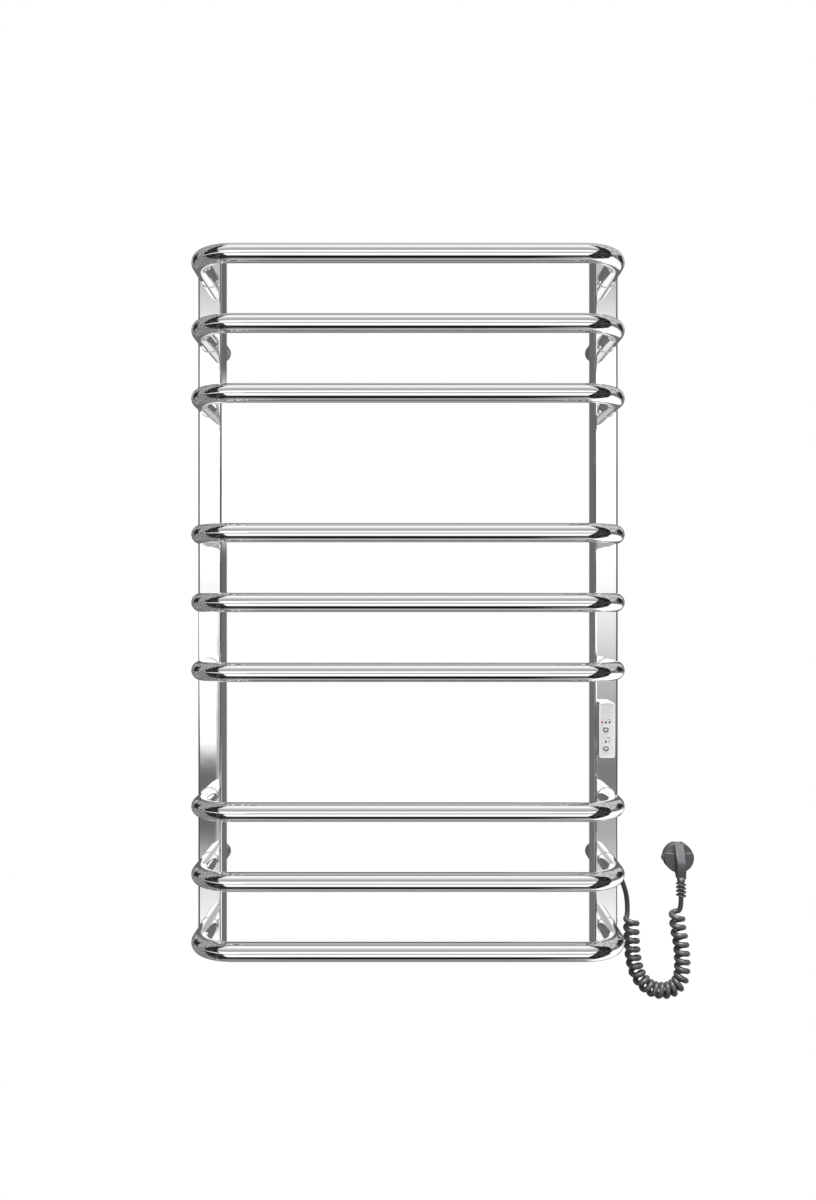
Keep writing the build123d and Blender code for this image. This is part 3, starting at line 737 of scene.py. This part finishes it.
BEAD_RADIUS = 0.75 * MM
sleeve_names = [f"{level}_{side}_sleeve" for level in ("upper", "lower") for side in ("left", "right")]
sleeve_radius = (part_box(sleeve_names[0])[1].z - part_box(sleeve_names[0])[0].z) / 2
rung_ends = [(side * post_x, post_front, height) for side in (-1, 1) for height in rung_heights]
sleeve_ends = [(middle(name).x, post_back, middle(name).z) for name in sleeve_names]
bead_sizes = {"Bead Radius": BEAD_RADIUS, "Ripples": 60.0, "Ripple Depth": 0.10}
rung_beads = grow("rung_weld_beads", bead_tree, rung_ends, {**bead_sizes, "Ring Radius": tube_radius})
dress(rung_beads, "rack", "chrome_steel", "weld_seams")
sleeve_sizes = {**bead_sizes, "Ring Radius": sleeve_radius}
sleeve_beads = grow("sleeve_weld_beads", bead_tree, sleeve_ends, sleeve_sizes)
dress(sleeve_beads, "rack", "chrome_steel")
print("beads:", len(rung_ends) + len(sleeve_ends))

# %% [markdown]
# ## Posts, caps and wall brackets
# These are turned and drawn parts whose CAD shape is already right. Their triangles are only
# merged, given a small bevel where a real edge is never sharp, and shaded by face area, so
# the flats mirror the room without a ripple.

# %% Posts, caps and brackets
SMALL_EDGE = 0.25 * MM
for side in ("left", "right"):
    refined(f"{side}_post")
    for level in ("upper", "lower"):
        refined(f"{level}_{side}_end_cap")
        refined(f"{level}_{side}_sleeve", bevel=SMALL_EDGE)
        refined(f"{level}_{side}_wall_base", bevel=SMALL_EDGE)

# %% [markdown]
# ## The control
# A bright rim holds a silver face with two buttons and four small lights. The printing is a
# thin layer of ink, so it is made as very thin solids that ride with what they are printed on.

# %% Housing, face, buttons and lights
for name in ("control_housing", "control_faceplate", "timer_button", "power_button"):
    refined(name)
for name in ("red_indicator", "dark_indicators"):
    refined(name, bevel=0.1 * MM)
face_low, face_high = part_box("control_faceplate")
print("face:", [round(side / MM, 2) for side in face_high - face_low], "mm")


# %% Ink
INK = 0.04 * MM
finishes["ink"] = moulded("black_ink", (0.012, 0.012, 0.013), 0.50, 2000.0, 0.000004)
finishes["red_ink"] = moulded("dull_red_ink", (0.45, 0.16, 0.17), 0.45, 2000.0, 0.000004)


def plate(work, outline, y):
    """A thin solid from an outline of (x, z) points, lying on the plane y and facing the user."""
    back = [work.verts.new((x, y, z)) for x, z in outline]
    front = [work.verts.new((x, y - INK, z)) for x, z in outline]
    count = len(outline)
    work.faces.new(front)
    work.faces.new(reversed(back))
    for here in range(count):
        after = (here + 1) % count
        work.faces.new((front[after], front[here], back[here], back[after]))


def arc(x, z, radius, start, end, steps):
    """Points of an arc, angles in degrees from +X towards +Z."""
    angles = [radians(start + (end - start) * step / steps) for step in range(steps + 1)]
    return [(x + radius * cos(angle), z + radius * sin(angle)) for angle in angles]


def broken_ring(work, x, z, y, outer, inner, gap):
    """A ring that is open at its top."""
    start, end = 90 + gap / 2, 450 - gap / 2
    plate(work, arc(x, z, outer, start, end, 48) + arc(x, z, inner, end, start, 48), y)


def bar(work, x, z, y, width, height):
    """A small upright or level dash."""
    half_width, half_height = width / 2, height / 2
    left, right, low, high = x - half_width, x + half_width, z - half_height, z + half_height
    plate(work, [(left, low), (right, low), (right, high), (left, high)], y)


def printed(name, body, ink, draw):
    """A piece of ink: draw adds its marks to a mesh."""
    work = bmesh.new()
    draw(work)
    bmesh.ops.recalc_face_normals(work, faces=work.faces)
    mesh = bpy.data.meshes.new(name)
    work.to_mesh(mesh)
    work.free()
    mesh.materials.append(finishes[ink])
    return dress(add_object(name, mesh), body, "dark_lens")


# %% Print the buttons
def power_symbol(name):
    """An open ring with a short upright dash at its top."""
    low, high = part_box(name)
    x, z = middle(name).x, middle(name).z
    radius = 3.2 * MM

    def draw(work):
        broken_ring(work, x, z, low.y, radius, radius - 1.25 * MM, 64)
        bar(work, x, z + 1.7 * MM, low.y, 1.1 * MM, 2.8 * MM)

    return draw


for name in ("timer_button", "power_button"):
    printed(name + "_symbol", name, "ink", power_symbol(name))

# %% Print the face
button_x = middle("timer_button").x
face_y = face_low.y
row_z = middle("red_indicator").z
red_x = middle("red_indicator").x
power_light_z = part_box("dark_indicators")[0].z + (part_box("red_indicator")[1].z - row_z)


def face_marks(work):
    mirror_x = 2 * button_x - red_x
    bar(work, mirror_x, row_z + 2.9 * MM, face_y, 2.6 * MM, 0.6 * MM)
    bar(work, mirror_x - 1.8 * MM, row_z + 2.9 * MM, face_y, 0.5 * MM, 1.0 * MM)
    bar(work, button_x + 3.2 * MM, power_light_z + 4.6 * MM, face_y, 2.6 * MM, 0.8 * MM)
    bar(work, button_x + 4.3 * MM, power_light_z + 0.2 * MM, face_y, 0.7 * MM, 1.6 * MM)
    bar(work, button_x + 3.9 * MM, power_light_z + 0.2 * MM, face_y, 1.6 * MM, 0.6 * MM)


printed("face_markings", "rack", "ink", face_marks)
printed(
    "red_face_marking", "rack", "red_ink",
    lambda work: bar(work, red_x, row_z + 2.9 * MM, face_y, 2.6 * MM, 0.4 * MM),
)
print("row of lights at z", round(row_z / MM, 1), "mm")

# %% [markdown]
# ## The curly cord
# The cord leaves a boot on the post's side, drops, winds into a spring that hangs in a U, and
# rises to the plug. Its axis is one smooth NURBS line through the chosen points. The wire is
# a second NURBS line that turns round that axis, with a pitch that opens at the two ends,
# where the spring carries its own weight.

# %% The route's points
cord_datum = Vector((post_high.x, 0.0, rung_heights[7]))
LEAD_POINTS = [(0.0093, -0.056, -0.028), (0.0149, -0.053, -0.041), (0.019, -0.047, -0.0585),
               (0.019, -0.047, -0.0765)]
COIL_POINTS = [
    (0.0225, -0.053, -0.0765),
    (0.0225, -0.053, -0.099),
    (0.0245, -0.052, -0.125),
    (0.030, -0.0515, -0.1475),
    (0.046, -0.051, -0.1655),
    (0.0705, -0.0505, -0.1675),
    (0.0845, -0.050, -0.155),
    (0.086, -0.0495, -0.133),
    (0.0845, -0.049, -0.109),
    (0.080, -0.047, -0.088),
    (0.080, -0.046, -0.071),
]
PLUG_LEAD_POINTS = [(0.0862, -0.042, -0.071), (0.0862, -0.042, -0.0544)]
WIRE_RADIUS = 3.0 * MM


def placed(points):
    return [cord_datum + Vector(point) for point in points]


def smooth_line(name, points, radius=0.0, widths=None):
    """A NURBS line drawn by its control points. It is round if it has a radius."""
    curve = bpy.data.curves.new(name, "CURVE")
    curve.dimensions = "3D"
    spline = curve.splines.new("NURBS")
    spline.points.add(len(points) - 1)
    for control, point, width in zip(spline.points, points, widths or [1.0] * len(points)):
        control.co = (*point, 1.0)
        control.radius = width
    spline.order_u = 3
    spline.use_endpoint_u = True
    spline.resolution_u = 12 if not radius else 4
    curve.resolution_u = spline.resolution_u
    curve.bevel_depth = radius
    curve.bevel_resolution = 5
    return add_object(name, curve)


def read_line(line_object):
    """The points that a curve with no bevel passes through."""
    bpy.context.view_layer.update()
    graph = bpy.context.evaluated_depsgraph_get()
    mesh = bpy.data.meshes.new_from_object(line_object.evaluated_get(graph))
    points = [vertex.co.copy() for vertex in mesh.vertices]
    bpy.data.meshes.remove(mesh)
    bpy.data.objects.remove(line_object)
    return points


axis_points = read_line(smooth_line("coil_axis", placed(COIL_POINTS)))
steps = [(after - here).length for here, after in zip(axis_points, axis_points[1:])]
axis_length = sum(steps)
print("coil axis:", len(axis_points), "points,", round(axis_length / MM, 1), "mm")

# %% Wind the wire round the axis
COIL_RADIUS = 6.9 * MM
COIL_THICKNESS = 1.1
POINTS_PER_TURN = 14
COIL_TURNS = 22 + 1 / POINTS_PER_TURN
START_PHASE = radians(-30)
PITCHES = [(0.0, 10.8), (0.33, 10.2), (0.42, 8.2), (0.58, 7.8), (0.67, 9.8), (1.0, 10.7)]


def pitch_at(share):
    """The pitch, in mm, at a share of the axis."""
    for (before, low), (after, high) in zip(PITCHES, PITCHES[1:]):
        if share <= after:
            return low + (high - low) * (share - before) / (after - before)
    return PITCHES[-1][1]


def on_axis(distance):
    """The point at a distance along the axis."""
    for here, after, step in zip(axis_points, axis_points[1:], steps):
        if distance <= step:
            return here.lerp(after, distance / step)
        distance -= step
    return axis_points[-1].copy()


def frame_at(distance):
    """The axis point, and two directions square to the axis: towards the wall, and sideways."""
    reach = 5 * MM
    ahead = on_axis(min(distance + reach, axis_length))
    behind = on_axis(max(distance - reach, 0.0))
    along = (ahead - behind).normalized()
    wall = Vector((0, 1, 0))
    wall = (wall - along * wall.dot(along)).normalized()
    return on_axis(distance), wall, along.cross(wall)


windings = round(COIL_TURNS * POINTS_PER_TURN)
shares = [(step + 0.5) / windings for step in range(windings)]
natural = sum(pitch_at(share) for share in shares)
wire_points = []
travelled = 0.0
for step in range(windings + 1):
    phase = START_PHASE - 2 * pi * step / POINTS_PER_TURN
    centre, wall, side = frame_at(travelled)
    wire_points.append(centre + COIL_RADIUS * (cos(phase) * wall + sin(phase) * side))
    if step < windings:
        travelled += axis_length * pitch_at(shares[step]) / natural
print("windings:", windings, "points, mean pitch", round(axis_length / COIL_TURNS / MM, 2), "mm")

# %% The whole cord, from the boot to the plug
# The first and last steps of the winding are left out, so the wire turns softly into its leads.
# Its sheath is a tenth thicker in the spring than in the leads.
SKIPPED = 2
turns = wire_points[SKIPPED:-SKIPPED]
cord_points = placed(LEAD_POINTS) + turns + placed(PLUG_LEAD_POINTS)
widths = [1.0] * len(LEAD_POINTS) + [COIL_THICKNESS] * len(turns) + [1.0] * len(PLUG_LEAD_POINTS)
probe = read_line(smooth_line("cord_probe", cord_points))
cord = smooth_line("curly_mains_cord", cord_points, WIRE_RADIUS, widths)
dress(cord, "rack", "cord_grey", "supply_cord_lead", "supply_cord_coil", "plug_lead")

# %% [markdown]
# ## Plug and strain relief
# The moulded plug keeps its CAD shape. Its strain relief is a soft sleeve with four collars,
# each a flat ring with a rounded edge, tilted a little as the cord pulls on it. The collars
# repeat, so a tree grows them, and a turned core joins them.

# %% Collars of the strain relief
relief_low, relief_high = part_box("plug_strain_relief")
relief_centre = (relief_low + relief_high) / 2
collar_tree, recipe, places = new_tree(
    "relief_collar", {"Outer Radius": LENGTH, "Core Radius": LENGTH, "Thickness": LENGTH}
)
outer, core = places.output("Outer Radius"), places.output("Core Radius")
ring = recipe.make(
    "GeometryNodeCurvePrimitiveCircle", {"mode": "RADIUS"},
    {"Resolution": 48, "Radius": (outer + core) / 2.0},
)
flat_section = recipe.make(
    "GeometryNodeCurvePrimitiveQuadrilateral", {"mode": "RECTANGLE"},
    {"Width": outer - core, "Height": places.output("Thickness")},
)
rounded_section = recipe.make(
    "GeometryNodeFilletCurve", {"mode": "POLY"},
    {"Curve": flat_section, "Count": 5, "Radius": places.output("Thickness") * 0.42},
)
collar = recipe.make("GeometryNodeCurveToMesh", None, {"Curve": ring, "Profile Curve": rounded_section})
smooth = recipe.make("GeometryNodeSetShadeSmooth", None, {0: collar})
finish_tree(recipe, places, smooth, (0.0, radians(7), 0.0), finishes["plug_grey"])

COLLARS = 4
COLLAR_THICKNESS = 1.7 * MM
CORE_RADIUS = 3.3 * MM
TOP_GAP = 0.6 * MM
FIRST_COLLAR = 0.8 * MM
pitch = (relief_high.z - relief_low.z - TOP_GAP) / COLLARS
first_height = relief_low.z + FIRST_COLLAR + COLLAR_THICKNESS / 2
collar_places = [
    (relief_centre.x, relief_centre.y, first_height + number * pitch) for number in range(COLLARS)
]
collars = grow(
    "relief_collars",
    collar_tree,
    collar_places,
    {"Outer Radius": (relief_high.x - relief_low.x) / 2 - 0.2 * MM, "Core Radius": CORE_RADIUS - 0.4 * MM,
     "Thickness": COLLAR_THICKNESS},
)


# %% The core under the collars
def turned(name, outline, centre, sides=48):
    """A solid of revolution about a vertical axis, from (radius, height) points, bottom first."""
    work = bmesh.new()
    rings = []
    for radius, z in outline:
        angles = [2 * pi * side / sides for side in range(sides)]
        rings.append([
            work.verts.new((centre.x + radius * cos(a), centre.y + radius * sin(a), z)) for a in angles
        ])
    work.faces.new(reversed(rings[0]))
    work.faces.new(rings[-1])
    for low, high in zip(rings, rings[1:]):
        for here in range(sides):
            after = (here + 1) % sides
            work.faces.new((low[here], low[after], high[after], high[here]))
    mesh = bpy.data.meshes.new(name)
    work.to_mesh(mesh)
    work.free()
    mesh.shade_smooth()
    mesh.set_sharp_from_angle(angle=radians(40))
    return add_object(name, mesh)


CORE_STEPS = 5
CORE_FLARE = 0.9 * MM
CORE_LIP = 0.6 * MM
CORE_RISE = 17.6 * MM
core_outline = [(WIRE_RADIUS + 0.15 * MM, relief_low.z)]
for number in range(CORE_STEPS + 1):
    share = number / CORE_STEPS
    height = relief_low.z + CORE_LIP + share * CORE_RISE
    core_outline.append((CORE_RADIUS + CORE_FLARE * share**2, height))
core_outline.append((CORE_RADIUS + 0.95 * MM, relief_high.z))
relief_core = turned("relief_core", core_outline, relief_centre)
dress(collars, "rack", "plug_grey", "plug_strain_relief")
dress(relief_core, "rack", "plug_grey")
print("collar pitch:", round(pitch / MM, 2), "mm")

# %% Plug, pins and boot
plug = refined("plug_body", crease=40.0)
refined("cord_boot", crease=50.0)
pins = refined("plug_pins", crease=40.0)
clips = refined("plug_earth_clips", bevel=0.2 * MM)

# %% [markdown]
# ## Check the size and close
# Looks must not change the object's size. The boxes before and after are compared, and the change
# printed.

# %% Sizes
new_low, new_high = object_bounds()
moved = (*(new_low - cad_low), *(new_high - cad_high))
print("box changed by", [round(value / MM, 2) for value in moved], "mm")
